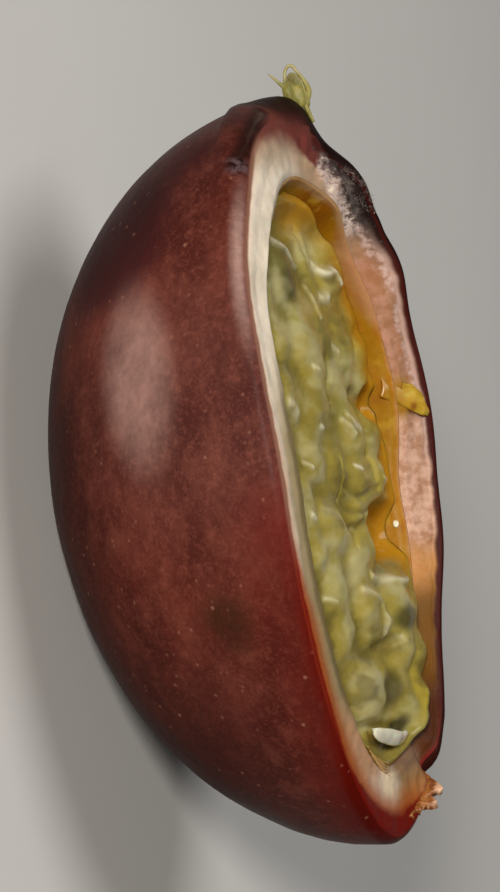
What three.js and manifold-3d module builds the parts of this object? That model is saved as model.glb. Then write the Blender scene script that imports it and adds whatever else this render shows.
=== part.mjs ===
import * as THREE from 'three';
import { mergeVertices } from 'three/addons/utils/BufferGeometryUtils.js';
import Module from 'manifold-3d';

// Half a purple passion fruit, cut from end to end, lying on its round back with the cut face up.
// Millimetres. X runs from the dried flower end (-X) to the torn stem end (+X), the rim curls in on
// the far side (+Y), Z is up. The origin is the middle of the flat spot that the fruit rests on.
// Places round the fruit are given by a turn about Z: 0 is the stem end, a quarter turn the far side.

const wasm = await Module();
wasm.setup();

// Whole fruit
const stemReach = 36.5; // from the resting spot to the stem end
const flowerReach = 35.5; // and to the flower end
const halfWidth = 25.2;
const depth = 30.6; // from the bottom to the widest level
const restSink = 0.3; // the bottom is flattened by this much
const bellyRoundness = 2.11; // of the section: 2 is a circle, 1 a straight slope
const outlineRoundness = { stemNear: 1.93, stemFar: 1.62, flowerNear: 1.95, flowerFar: 1.67 };
const dents = [
  { x: -21, y: -21, z: 12, spread: 8, depth: 0.35 },
  { x: 22, y: -17, z: 12, spread: 7, depth: 0.3 },
  { x: -6, y: 22, z: 9, spread: 9, depth: 0.4 },
  { x: 12, y: 20, z: 16, spread: 8, depth: 0.35 },
];
// Fold in the skin beside the flower end
const crease = { x: -31.6, z: 22.5, lean: -0.85, width: 0.9, length: 6, depth: 0.55 };

// Cut face
const rimSink = 1; // the cut lies this much below the widest level
const endSink = 1.6; // and sinks by this much more towards both ends
const farRise = 0.7; // the far side is cut this much higher
const rimWaves = {
  near: [{ x: 0, spread: 6.5, rise: 0.3 }, { x: -19, spread: 7.5, rise: -0.65 }],
  far: [
    { x: -31, spread: 3.5, rise: 0.8 }, { x: -19, spread: 4.5, rise: 1.1 },
    { x: 4, spread: 7, rise: -0.7 }, { x: 18, spread: 8, rise: -1.05 },
    { x: 29.8, spread: 1.2, rise: -1.3 },
  ],
};
const skinEdge = 1.3; // rounding of the skin's edge
const flowerEdge = 2.2; // the rounding grows by this much at the flower end
// Skin standing up along the far rim
const curl = { height: 0.8, width: 1.1, extra: 0.5, extraTurn: 2.6 };
const nearSlope = 0.35; // on the near side the pith rises by this much towards the hollow
const farSlope = -0.6; // and on the far side it falls
const bevel = { x: -20, spread: 6, drop: 1 }; // most of all at this place
const innerEdge = 0.8; // rounding of the pith's inner edge

// Hollow in the rind
const hollow = { stem: 29.2, flower: 27.8, near: 20.2, far: 19.1, floor: 5.2, roundness: 2.1 };
const flowerRamp = 1; // the section of the hollow gets this much flatter at the flower end
const stemCorner = 0.35; // and its outline this much fuller between the stem end and the far side

// Lining and pulp
const gap = 0.5; // left between touching pieces
const liningThickness = 0.5;
const pulpInset = 2 * gap + liningThickness; // from the rind to the pulp
// Rings up the wall of the hollow, from its bottom to just under the pith's edge
const climbs = [0, 0.2, 0.38, 0.55, 0.7, 0.84, 0.98];
const pulpSink = { middle: 1.8, far: 0.6, stem: -0.8, flower: 1.4 }; // depth under the rim
const pulpBulge = { x: 19, y: 11, spread: 9, rise: 1.1 };
const aril = { length: 3.9, width: 2.9, height: 2.5, spacing: 4.9, sink: 0.8, sides: 7, rings: 5 };

// Pieces at the ends
const flap = {
  x: -6, root: 17.4, length: 5.9, width: 3.6, thickness: 0.5, rise: 1.2, droop: 0.1, sweep: 3.2,
};
const tornLumps = [
  { x: 32.4, y: 5.8, z: 27.2, long: 3, wide: 3, high: 1.9 },
  { x: 34.6, y: 2.8, z: 26.5, long: 2.4, wide: 3.2, high: 1.9 },
  { x: 33.3, y: 7.6, z: 28.1, long: 1.5, wide: 1.3, high: 1.5 },
];
const tornFlakes = [
  { x: 32.8, y: 8.4, z: 28.8, length: 2.6, thickness: 0.8, aim: [-0.1, 0.75, 0.9] },
  { x: 34.1, y: 8, z: 28.4, length: 2, thickness: 0.8, aim: [0.2, 0.6, 0.9] },
  { x: 35.4, y: 5.6, z: 27.4, length: 1.6, thickness: 0.7, aim: [0.5, 0.4, 0.8] },
];
const remnant = { x: -32.1, y: 7.4, z: 28.2 }; // where the dried flower meets the rim

const around = 68; // steps round the fruit
const { sin, cos, asin, atan2, abs, min, max, PI, exp, hypot } = Math;
const clamp = THREE.MathUtils.clamp;

// A fixed sequence of numbers from 0 to 1, so that every build is alike
function numbers(seed) {
  let state = seed;
  return () => {
    state = (state * 16807) % 2147483647;
    return state / 2147483647;
  };
}

// Radius of an egg-shaped outline whose quarters have their own reach and roundness
function outlineRadius(turn, stem, flower, near, far, roundness) {
  const alongX = abs(cos(turn)) / (cos(turn) > 0 ? stem : flower);
  const alongY = abs(sin(turn)) / (sin(turn) > 0 ? far : near);
  return (alongX ** roundness + alongY ** roundness) ** (-1 / roundness);
}

function fruitRadius(turn) {
  const quarter = (cos(turn) > 0 ? 'stem' : 'flower') + (sin(turn) > 0 ? 'Far' : 'Near');
  const roundness = 2 + (outlineRoundness[quarter] - 2) * abs(sin(2 * turn)) ** 0.5;
  return outlineRadius(turn, stemReach, flowerReach, halfWidth, halfWidth, roundness);
}

function hollowRadius(turn) {
  const roundness = 2 + stemCorner * max(0, sin(2 * turn)) * (sin(turn) > 0 ? 1 : 0);
  return outlineRadius(turn, hollow.stem, hollow.flower, hollow.near, hollow.far, roundness);
}

function hump(x, waves) {
  return waves.reduce((sum, wave) => sum + wave.rise * exp(-(((x - wave.x) / wave.spread) ** 2)), 0);
}

// Share from 0 to 1 of a place's nearness to the far side, the near side or the flower end
const farShare = (turn) => clamp(3 * sin(turn), 0, 1);
const nearShare = (turn) => clamp(-3 * sin(turn), 0, 1);
const flowerShare = (turn) => max(0, -cos(turn)) ** 6;

function rimHeight(turn) {
  const x = fruitRadius(turn) * cos(turn);
  const endShare = (x / (x > 0 ? stemReach : flowerReach)) ** 2;
  const nearWaves = nearShare(turn) * hump(x, rimWaves.near);
  const farWaves = farShare(turn) * (hump(x, rimWaves.far) + farRise);
  return depth - restSink - rimSink - endSink * endShare + nearWaves + farWaves;
}

function curlHeight(turn) {
  const extra = curl.extra * exp(-(((turn - curl.extraTurn) / 0.25) ** 2));
  return farShare(turn - 0.15) * farShare(turn + 0.1) * (curl.height + extra);
}

// Outer wall: climb runs from 0 at the bottom to 1 at the widest level
function onWall(turn, climb) {
  const swing = ((1 - climb) * PI) / 2;
  const raw = depth * (1 - sin(swing) ** (2 / bellyRoundness));
  const height = raw - restSink + (rimHeight(turn) + restSink - depth) * (raw / depth) ** 3;
  return { reach: fruitRadius(turn) * cos(swing) ** (2 / bellyRoundness), height: max(0, height) };
}

// Wall of the hollow, set in by an inset towards the pulp
function onHollow(turn, climb, inset = 0) {
  const swing = ((1 - climb) * PI) / 2;
  const power = 2 / (hollow.roundness - flowerRamp * flowerShare(turn));
  const top = rimHeight(turn) + pithSlope(turn);
  return {
    reach: max(0, hollowRadius(turn) * cos(swing) ** power - inset * cos(swing)),
    height: hollow.floor + (top - hollow.floor) * (1 - sin(swing) ** power) + inset * sin(swing),
  };
}

function pithSlope(turn) {
  const x = fruitRadius(turn) * cos(turn);
  const bevelled = bevel.drop * exp(-(((x - bevel.x) / bevel.spread) ** 2));
  return nearShare(turn) * nearSlope + farShare(turn) * (farSlope - bevelled);
}

function spread(from, to, count) {
  return Array.from({ length: count }, (_, i) => from + ((to - from) * i) / (count - 1));
}

// A closed form round the Z axis: each row gives the reach and height of its ring at a turn. The steps
// round it are closer together at the two ends, where the outline bends most.
function turned(rows, steps) {
  const profile = rows.map((_, i) => new THREE.Vector2(i === 0 || i === rows.length - 1 ? 0 : 1, i));
  const geometry = new THREE.LatheGeometry(profile, steps);
  const position = geometry.attributes.position;
  for (let i = 0; i < position.count; i += 1) {
    const share = Math.floor(i / rows.length) / steps;
    const even = (share % 1) * 2 * PI;
    const turn = even - 0.25 * sin(2 * even);
    const { reach, height } = rows[i % rows.length](turn);
    position.setXYZ(i, reach * cos(turn), reach * sin(turn), height);
  }
  return geometry;
}

// Shared corners merged, slivers dropped, faces turned outwards: what the solids are joined from
function solid(geometry) {
  const bare = geometry.index ? geometry.clone() : geometry;
  bare.deleteAttribute('normal');
  bare.deleteAttribute('uv');
  const merged = mergeVertices(bare, 1e-4);
  const corners = merged.index.array;
  const kept = [];
  for (let i = 0; i < corners.length; i += 3) {
    const [a, b, c] = [corners[i], corners[i + 1], corners[i + 2]];
    if (a !== b && b !== c && c !== a) kept.push(a, b, c);
  }
  const points = merged.attributes.position;
  const corner = (i) => new THREE.Vector3().fromBufferAttribute(points, i);
  let volume = 0;
  for (let i = 0; i < kept.length; i += 3) {
    volume += corner(kept[i]).dot(corner(kept[i + 1]).cross(corner(kept[i + 2])));
  }
  if (volume < 0) kept.reverse();
  return new wasm.Manifold(new wasm.Mesh({
    numProp: 3,
    vertProperties: new Float32Array(points.array),
    triVerts: new Uint32Array(kept),
  }));
}

function named(name, body, colour, roughness) {
  const { vertProperties, triVerts } = body.getMesh();
  const geometry = new THREE.BufferGeometry();
  geometry.setAttribute('position', new THREE.BufferAttribute(vertProperties, 3));
  geometry.setIndex(new THREE.BufferAttribute(triVerts, 1));
  geometry.computeVertexNormals();
  const surface = new THREE.MeshStandardMaterial({ color: colour, roughness, metalness: 0 });
  const mesh = new THREE.Mesh(geometry, surface);
  mesh.name = name;
  return mesh;
}

function moved(geometry, change) {
  const position = geometry.attributes.position;
  const point = new THREE.Vector3();
  for (let i = 0; i < position.count; i += 1) {
    change(point.fromBufferAttribute(position, i));
    position.setXYZ(i, point.x, point.y, point.z);
  }
  return geometry;
}

// Shallow dents and the fold beside the flower end press the skin inwards
function pressSkin(point) {
  const reach = hypot(point.x, point.y);
  let press = 0;
  for (const dent of dents) {
    const away = hypot(point.x - dent.x, point.y - dent.y, point.z - dent.z);
    press += dent.depth * exp(-((away / dent.spread) ** 2));
  }
  const along = (point.z - crease.z) * cos(crease.lean) - (point.x - crease.x) * sin(crease.lean);
  const across = (point.z - crease.z) * sin(crease.lean) + (point.x - crease.x) * cos(crease.lean);
  if (point.y < 0 && point.z < rimHeight(atan2(point.y, point.x)) - 0.2) {
    press += crease.depth * exp(-((along / crease.length) ** 4) - (across / crease.width) ** 2);
  }
  if (reach > 6 && point.z > 1) point.multiply(new THREE.Vector3(1 - press / reach, 1 - press / reach, 1));
}

// Skin and pith: up the outer wall, over the skin's edge, across the cut and down the hollow
function rindRows() {
  const edge = (turn) => skinEdge + flowerEdge * flowerShare(turn);
  const spotClimb = 1 - (2 / PI) * asin((1 - restSink / depth) ** (bellyRoundness / 2));
  const wall = spread(spotClimb, 0.9, 13).map((climb) => (turn) => onWall(turn, climb));
  const lip = [0, 0.35, 0.7, 1].map((share) => (turn) => ({
    reach: fruitRadius(turn) - edge(turn) * (1 - cos((share * PI) / 2)),
    height: rimHeight(turn) + curlHeight(turn) - edge(turn) * (1 - sin((share * PI) / 2)),
  }));
  const cutFoot = (turn) => fruitRadius(turn) - edge(turn) - curl.width;
  const cut = [0, 0.5, 1].map((share) => (turn) => ({
    reach: cutFoot(turn) + (hollowRadius(turn) + innerEdge - cutFoot(turn)) * share,
    height: rimHeight(turn) + pithSlope(turn) * share,
  }));
  const hollowWall = climbs.map((climb) => (turn) => onHollow(turn, climb)).reverse();
  return [() => ({ reach: 0, height: 0 }), ...wall, ...lip, ...cut, ...hollowWall];
}

// Torn flesh at the stem end: knobbly lumps and a few pointed flakes
function makeTornPieces() {
  const lumps = tornLumps.map(({ x, y, z, long, wide, high }, i) => {
    const lump = new THREE.IcosahedronGeometry(1, 1);
    const knobs = ({ x: a, y: b, z: c }) => 1 + 0.12 * sin(7 * a + 5 * b + 9 * c + i);
    moved(lump, (point) => point.multiplyScalar(knobs(point)));
    lump.scale(long, wide, high);
    lump.translate(x, y, z);
    return solid(lump);
  });
  const flakes = tornFlakes.map(({ x, y, z, length, thickness, aim }) => {
    const flake = new THREE.ConeGeometry(thickness, length, 4, 1);
    flake.scale(1, 1, 0.6);
    flake.applyQuaternion(new THREE.Quaternion().setFromUnitVectors(
      new THREE.Vector3(0, 1, 0), new THREE.Vector3(...aim).normalize(),
    ));
    flake.translate(x, y, z);
    return solid(flake);
  });
  return [...lumps, ...flakes];
}

function makeRind() {
  const shell = solid(moved(turned(rindRows(), around), pressSkin));
  return makeTornPieces().reduce((body, piece) => body.add(piece), shell);
}

// The thin skin that lines the hollow, with the torn flap that lies over the far rim
function makeLining() {
  const outer = climbs.map((climb) => (turn) => onHollow(turn, climb, gap));
  const inner = climbs.map((climb) => (turn) => onHollow(turn, climb, gap + liningThickness)).reverse();
  return solid(turned([...outer, ...inner], around)).add(makeFlap());
}

function makeFlap() {
  const leaf = new THREE.BoxGeometry(1, 1, 1, 4, 9, 1);
  return solid(moved(leaf, (point) => {
    const along = point.y + 0.5;
    const narrow = sin(PI * (0.16 + 0.84 * along ** 0.8)) ** 0.7 + 0.04;
    const lift = sin(min(1, along * 4.5) * PI * 0.5);
    const x = flap.x + point.x * flap.width * narrow + flap.sweep * along ** 1.5;
    const y = flap.root + flap.length * along;
    const turn = atan2(y, x);
    const cup = 0.35 * (4 * point.x * point.x - 0.5) * narrow;
    const z = rimHeight(turn) - 2.6 * (1 - lift) + flap.rise * lift - flap.droop * along * along + cup;
    point.set(x, y, z + point.z * flap.thickness * (1 - 0.4 * along));
  }));
}

// How high the pulp stands under a place of the hollow
function pulpLevel(x, y) {
  const turn = atan2(y, x);
  const out = clamp(hypot(x, y) / hollowRadius(turn), 0, 1);
  const toFar = clamp(y / hollow.far, 0, 1);
  const toStem = clamp(x / hollow.stem, 0, 1);
  const toFlower = clamp((-x - 12) / (hollow.flower - 12), 0, 1);
  const rim = depth - restSink - rimSink - endSink * (x / flowerReach) ** 2;
  const sink = pulpSink.middle + pulpSink.far * toFar * (1 - toStem) + pulpSink.stem * toStem;
  const bulge = pulpBulge.rise * exp(-((hypot(x - pulpBulge.x, y - pulpBulge.y) / pulpBulge.spread) ** 2));
  return rim - sink - pulpSink.flower * toFlower + bulge + 0.5 * cos(out * PI * 0.5);
}

function pulpRows() {
  const wall = [0, 0.2, 0.38, 0.55, 0.7].map((climb) => (turn) => onHollow(turn, climb, pulpInset + 0.1));
  const top = [1, 0.75, 0.5, 0.25, 0].map((share) => (turn) => {
    const reach = onHollow(turn, 0.8, pulpInset + 0.1).reach * share;
    return { reach, height: pulpLevel(reach * cos(turn), reach * sin(turn)) - aril.sink };
  });
  return [...wall, ...top];
}

// Seed sacs lie over the top in staggered rows, each one turned and sized a little differently
function arilPlaces() {
  const draw = numbers(4711);
  const places = [];
  let row = 0;
  for (let x = -hollow.flower; x < hollow.stem; x += aril.spacing * 0.88) {
    row += 1;
    for (let y = -hollow.near; y < hollow.far; y += aril.spacing) {
      const place = {
        x: x + (draw() - 0.5) * 2,
        y: y + (row % 2) * aril.spacing * 0.5 + (draw() - 0.5) * 2,
        size: 0.85 + 0.3 * draw(),
        turn: draw() * PI,
        lift: (draw() - 0.5) * 0.9,
      };
      const turn = atan2(place.y, place.x);
      const room = hollowRadius(turn) - hypot(place.x, place.y);
      if (room > 3.2 + 3.4 * flowerShare(turn)) places.push(place);
    }
  }
  return places;
}

function makeAril(place) {
  const sac = new THREE.SphereGeometry(1, aril.sides, aril.rings);
  sac.rotateX(PI / 2);
  sac.scale(aril.length * place.size, aril.width * place.size, aril.height * place.size);
  sac.rotateY((place.size - 1) * 1.5);
  sac.rotateZ(place.turn);
  sac.translate(place.x, place.y, pulpLevel(place.x, place.y) - aril.height * 0.62 + place.lift);
  return solid(sac);
}

// The heap of sacs, trimmed to the room inside the lining
function makePulp() {
  const wall = climbs.map((climb) => (turn) => onHollow(turn, climb, pulpInset));
  const lidEdge = (turn) => ({ reach: wall.at(-1)(turn).reach, height: depth + 2 });
  const lidMiddle = () => ({ reach: 0, height: depth + 2 });
  const room = solid(turned([...wall, lidEdge, lidMiddle], around));
  const core = solid(turned(pulpRows(), around));
  const heap = arilPlaces().map(makeAril).reduce((body, sac) => body.add(sac), core);
  return heap.intersect(room);
}

// The dried flower: a short stalk with a body of shrunken petals and a loop at its tip
function makeRemnant() {
  const strand = (radius, steps, ...places) => {
    const section = new THREE.Shape();
    section.absellipse(0, 0, radius, radius * 0.65, 0, 2 * PI);
    const base = new THREE.Vector3(remnant.x, remnant.y, remnant.z);
    const points = places.map((place) => new THREE.Vector3(...place).add(base));
    const extrudePath = new THREE.CatmullRomCurve3(points);
    return solid(new THREE.ExtrudeGeometry(section, { steps, extrudePath, curveSegments: 2 }));
  };
  const stalk = strand(0.35, 4, [-0.6, 0, 0.1], [-1.7, -0.2, -0.3], [-3, -0.3, -0.7]);
  const petals = strand(1.05, 5, [-2, -0.3, -0.5], [-3, -0.3, -0.9], [-4.4, -0.2, -1.2]);
  const loopOut = strand(0.35, 5, [-3.8, -0.2, -0.8], [-5, 0.1, -0.7], [-6, 0.1, -1.6]);
  const loopBack = strand(0.35, 5, [-3.8, -0.2, -1.6], [-5, -0.3, -2.1], [-6.1, 0, -1.3]);
  const thread = strand(0.25, 4, [-3.6, -0.3, -1.4], [-4.3, -0.3, -2.4], [-4.9, -0.3, -3.6]);
  return [petals, loopOut, loopBack, thread].reduce((joined, piece) => joined.add(piece), stalk);
}

const fruit = new THREE.Group();
fruit.add(
  named('rind', makeRind(), 0x5d2a26, 0.42),
  named('lining', makeLining(), 0xb48a34, 0.4),
  named('pulp', makePulp(), 0x968a45, 0.25),
  named('flower_remnant', makeRemnant(), 0xa09658, 0.7),
);

export default fruit;
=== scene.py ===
import random

import bmesh
import bpy
import numpy as np
from mathutils import Matrix, Vector, noise


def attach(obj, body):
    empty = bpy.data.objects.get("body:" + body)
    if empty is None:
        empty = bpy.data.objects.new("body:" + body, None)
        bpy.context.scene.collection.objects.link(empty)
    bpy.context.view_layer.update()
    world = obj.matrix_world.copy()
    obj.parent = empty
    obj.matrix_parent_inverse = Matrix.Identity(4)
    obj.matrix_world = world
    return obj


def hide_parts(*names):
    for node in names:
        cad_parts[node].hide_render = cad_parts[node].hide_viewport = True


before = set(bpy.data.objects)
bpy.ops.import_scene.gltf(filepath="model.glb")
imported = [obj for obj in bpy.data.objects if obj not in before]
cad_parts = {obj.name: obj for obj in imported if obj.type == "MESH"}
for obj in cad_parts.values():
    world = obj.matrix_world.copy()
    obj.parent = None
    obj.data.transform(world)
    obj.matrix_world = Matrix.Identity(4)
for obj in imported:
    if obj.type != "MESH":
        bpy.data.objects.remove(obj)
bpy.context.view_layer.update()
print("frame loaded:", sorted(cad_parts))

# Half a passion fruit, cut face up. All sizes are millimetres until a piece is finished, when its mesh
# is scaled to metres. A turn is an angle about Z: 0 is the stem end (+X), a quarter turn the far side.

fruit = dict(
    stem=36.5, flower=35.5, side=25.2, depth=30.6,  # reach from the resting spot
    restSink=0.3,                                   # the bottom is flattened by this much
    belly=2.11,                                     # roundness of the section, 2 is a circle
    stemNear=1.93, stemFar=1.62, flowerNear=1.95, flowerFar=1.67,  # roundness of the outline's quarters
    rimSink=1.0, endSink=1.6, farRise=0.7,          # how the cut lies under the widest level
    nearWaves=[(0, 6.5, 0.3), (-19, 7.5, -0.65)],   # place along X, spread, rise
    farWaves=[(-31, 3.5, 0.8), (-19, 4.5, 0.95), (4, 7, -0.7), (18, 8, -1.05), (31.9, 1.0, -1.5)],
    noses=[(-36, 7.4, 26.0, 4.4, 2.5), (-32.6, 7.4, 27.8, 2.4, 0.95), (-32.5, -10.5, 23.5, 5, 0.3)],  # the round tip that stays beyond the cut
    dents=[(-34.5, -5, 23.5, 5, 0.2), (-21, -21, 12, 8, 0.35), (22, -17, 12, 7, 0.3), (-6, 22, 9, 9, 0.4), (12, 20, 16, 8, 0.35)],
)
hollow = dict(stem=29.2, flower=27.8, near=20.2, far=19.1, floor=5.2, roundness=2.1, ramp=1, corner=0.35)
rim = dict(
    edge=1.3, flowerEdge=3.0,       # rounding of the skin's edge, and how it grows at the flower end
    curl=0.8, curls=[(2.4, 0.15, 0.25), (2.54, 0.05, 0.25), (2.66, 0.1, 0.9), (2.76, 0.05, 0.4), (2.89, 0.1, -1.7)], curlWidth=1.1,  # skin standing up along the far side
    nearSlope=0.35, farSlope=-0.6, innerEdge=0.8,
    bevels=[(-20, 6, 1.0), (5, 9, 0.75)],  # where the far cut slopes in more: place along X, spread, drop
)


def outlineRadius(turn, stem, flower, near, far, roundness):
    alongX = np.abs(np.cos(turn)) / np.where(np.cos(turn) > 0, stem, flower)
    alongY = np.abs(np.sin(turn)) / np.where(np.sin(turn) > 0, far, near)
    return (alongX ** roundness + alongY ** roundness) ** (-1 / roundness)


def fruitRadius(turn):
    stemSide = np.where(np.sin(turn) > 0, fruit["stemFar"], fruit["stemNear"])
    flowerSide = np.where(np.sin(turn) > 0, fruit["flowerFar"], fruit["flowerNear"])
    quarter = np.where(np.cos(turn) > 0, stemSide, flowerSide)
    roundness = 2 + (quarter - 2) * np.abs(np.sin(2 * turn)) ** 0.5
    return outlineRadius(turn, fruit["stem"], fruit["flower"], fruit["side"], fruit["side"], roundness)


def hollowRadius(turn):
    roundness = 2 + hollow["corner"] * np.maximum(0, np.sin(2 * turn)) * (np.sin(turn) > 0)
    return outlineRadius(turn, hollow["stem"], hollow["flower"], hollow["near"], hollow["far"], roundness)


def farShare(turn):
    return np.clip(3 * np.sin(turn), 0, 1)


def nearShare(turn):
    return np.clip(-3 * np.sin(turn), 0, 1)


def flowerShare(turn):
    return np.maximum(0, -np.cos(turn)) ** 6


def hump(x, waves):
    return sum(rise * np.exp(-((x - place) / spread) ** 2) for place, spread, rise in waves)


def rimHeight(turn):
    x = fruitRadius(turn) * np.cos(turn)
    ends = fruit["endSink"] * (x / np.where(x > 0, fruit["stem"], fruit["flower"])) ** 2
    nearPart = nearShare(turn) * hump(x, fruit["nearWaves"])
    farPart = farShare(turn) * (hump(x, fruit["farWaves"]) + fruit["farRise"])
    return fruit["depth"] - fruit["restSink"] - fruit["rimSink"] - ends + nearPart + farPart


def curlHeight(turn):
    return farShare(turn - 0.15) * farShare(turn + 0.1) * (rim["curl"] + hump(turn, rim["curls"]))


def pithSlope(turn):
    x = fruitRadius(turn) * np.cos(turn)
    return nearShare(turn) * rim["nearSlope"] + farShare(turn) * (rim["farSlope"] - hump(x, rim["bevels"]))


def edgeRadius(turn):
    return rim["edge"] + rim["flowerEdge"] * flowerShare(turn) * (1 - 0.5 * farShare(turn))


def wallPoint(turn, climb):  # on the outside; climb goes from 0 at the bottom to 1 at the widest level
    swing = (1 - climb) * np.pi / 2
    raw = fruit["depth"] * (1 - np.sin(swing) ** (2 / fruit["belly"]))
    lowered = (rimHeight(turn) + fruit["restSink"] - fruit["depth"]) * (raw / fruit["depth"]) ** 3
    reach = fruitRadius(turn) * np.cos(swing) ** (2 / fruit["belly"])
    return reach, np.maximum(0, raw - fruit["restSink"] + lowered)


def hollowPoint(turn, climb, inset=0.0):  # on the hollow's wall, set in towards the pulp
    swing = (1 - climb) * np.pi / 2
    power = 2 / (hollow["roundness"] - hollow["ramp"] * flowerShare(turn))
    top = rimHeight(turn) + pithSlope(turn)
    reach = np.maximum(0, hollowRadius(turn) * np.cos(swing) ** power - inset * np.cos(swing))
    height = hollow["floor"] + (top - hollow["floor"]) * (1 - np.sin(swing) ** power) + inset * np.sin(swing)
    return reach, height


def roomReach(turn, height, inset):  # how far the hollow goes out at a height
    power = 2 / (hollow["roundness"] - hollow["ramp"] * flowerShare(turn))
    top = rimHeight(turn) + pithSlope(turn)
    share = np.clip(1 - (height - hollow["floor"]) / (top - hollow["floor"]), 0, 1)
    swing = np.arcsin(share ** (1 / power))
    return hollowRadius(turn) * np.cos(swing) ** power - inset * np.cos(swing)


# A form spun round Z. Each row is a function of the turn that gives reach and height, and may give two
# numbers more, kept for the colours: "cut" grows inwards from the skin, "inner" outwards from the hollow.
def spunForm(rows, steps):
    bm = bmesh.new()
    last = len(rows) - 1
    chain = [bm.verts.new((0.0 if i in (0, last) else 1.0, 0.0, float(i))) for i in range(len(rows))]
    edges = [bm.edges.new(pair) for pair in zip(chain, chain[1:])]
    bmesh.ops.spin(bm, geom=chain + edges, axis=(0, 0, 1), cent=(0, 0, 0), steps=steps,
                   angle=2 * np.pi, use_merge=True)
    bmesh.ops.remove_doubles(bm, verts=bm.verts, dist=0.0001)
    cut = bm.verts.layers.float.new("cut")
    inner = bm.verts.layers.float.new("inner")
    verts = list(bm.verts)
    place = np.array([v.co for v in verts])
    row = np.rint(place[:, 2]).astype(int)
    even = np.arctan2(place[:, 1], place[:, 0]) % (2 * np.pi)
    turn = even - 0.25 * np.sin(2 * even)  # closer together at the two ends, where the outline bends most
    for i, rowPoint in enumerate(rows):
        mine = np.flatnonzero(row == i)
        point = rowPoint(turn[mine])
        reach = np.broadcast_to(point[0], mine.shape)
        height = np.broadcast_to(point[1], mine.shape)
        inward = np.broadcast_to(point[2] if len(point) > 2 else 0.0, mine.shape)
        outward = np.broadcast_to(point[3] if len(point) > 3 else 9.0, mine.shape)
        for k, index in enumerate(mine):
            t = turn[index]
            verts[index].co = (reach[k] * np.cos(t), reach[k] * np.sin(t), height[k])
            verts[index][cut] = inward[k]
            verts[index][inner] = outward[k]
    bmesh.ops.recalc_face_normals(bm, faces=bm.faces)
    return bm


def finishPiece(bm, name, paints, slotName, *nodes):
    bmesh.ops.scale(bm, vec=(0.001, 0.001, 0.001), verts=bm.verts)
    mesh = bpy.data.meshes.new(name)
    bm.to_mesh(mesh)
    bm.free()
    mesh.shade_smooth()
    for paint in paints:
        mesh.materials.append(paint.material)
    piece = bpy.data.objects.new(name, mesh)
    bpy.context.scene.collection.objects.link(piece)
    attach(piece, "root")
    if nodes:
        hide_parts(*nodes)
    print("made", name, "with", len(mesh.polygons), "faces")
    return piece


# ---- shader helpers
def tone(red, green, blue):  # a screen colour from 0 to 255, as the linear one that a shader takes
    def linear(part):
        return part / 3295 if part < 11 else ((part / 255 + 0.055) / 1.055) ** 2.4
    return (linear(red), linear(green), linear(blue), 1.0)


class Wire:  # an output socket that can be calculated with
    def __init__(self, paint, socket):
        self.paint = paint
        self.socket = socket

    def calc(self, operation, *values):
        return self.paint.node("Math", {"operation": operation}, dict(enumerate(values)))

    def __add__(self, other):
        return self.calc("ADD", self, other)

    def __radd__(self, other):
        return self.calc("ADD", other, self)

    def __sub__(self, other):
        return self.calc("SUBTRACT", self, other)

    def __rsub__(self, other):
        return self.calc("SUBTRACT", other, self)

    def __mul__(self, other):
        return self.calc("MULTIPLY", self, other)

    def __rmul__(self, other):
        return self.calc("MULTIPLY", other, self)

    def __pow__(self, other):
        return self.calc("POWER", self, other)

    def rise(self, low, high):  # 0 below low, 1 above high, smooth between
        settings = {"interpolation_type": "SMOOTHSTEP"}
        return self.paint.node("MapRange", settings, {"Value": self, "From Min": low, "From Max": high})

    def fall(self, low, high):
        return 1 - self.rise(low, high)


class Paint:  # one material
    def __init__(self, name, **finish):
        self.material = bpy.data.materials.new(name)
        self.material.use_nodes = True
        self.tree = self.material.node_tree
        self.surface = self.tree.nodes["Principled BSDF"]
        self.objectPlace = self.node("TexCoord", out="Object")
        for socket, value in finish.items():
            self.surface.inputs[socket.replace("_", " ")].default_value = value

    def node(self, kind, settings=None, sockets=None, out=0):
        made = self.tree.nodes.new("ShaderNode" + kind)
        for key, value in (settings or {}).items():
            setattr(made, key, value)
        for key, value in (sockets or {}).items():
            if isinstance(value, Wire):
                self.tree.links.new(value.socket, made.inputs[key])
            else:
                made.inputs[key].default_value = value
        return Wire(self, made.outputs[out])

    def give(self, **wires):  # links wires to the shader's own sockets
        for socket, wire in wires.items():
            self.tree.links.new(wire.socket, self.surface.inputs[socket.replace("_", " ")])

    def attribute(self, name):
        return self.node("Attribute", {"attribute_name": name}, out="Fac")

    def along(self, axis):  # the place along X, Y or Z in millimetres
        return self.node("SeparateXYZ", sockets={0: self.objectPlace}, out=axis) * 1000

    def cloud(self, size, detail=3.0, roughness=0.5, stretch=(1, 1, 1)):  # size in millimetres
        place = self.node("Mapping", sockets={"Vector": self.objectPlace, "Scale": stretch})
        sockets = {"Vector": place, "Scale": 1000 / size, "Detail": detail, "Roughness": roughness}
        return self.node("TexNoise", {"noise_dimensions": "3D"}, sockets)

    def cells(self, size, out="Distance", feature="F1"):
        sockets = {"Vector": self.objectPlace, "Scale": 1000 / size}
        return self.node("TexVoronoi", {"feature": feature}, sockets, out=out)

    def spot(self, x, y, z, core, edge):  # 1 within core of a place, 0 beyond edge
        centre = (x / 1000, y / 1000, z / 1000)
        away = self.node("VectorMath", {"operation": "DISTANCE"}, {0: self.objectPlace, 1: centre}, out="Value")
        return (away * 1000).fall(core, edge)

    def mix(self, share, first, second):
        return self.node("Mix", {"data_type": "RGBA"}, {0: share, 6: first, 7: second}, out=2)

    def bump(self, height, depth, strength=1.0):  # depth in millimetres
        sockets = {"Height": height, "Distance": depth / 1000, "Strength": strength}
        return self.node("Bump", sockets=sockets, out="Normal")


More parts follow.
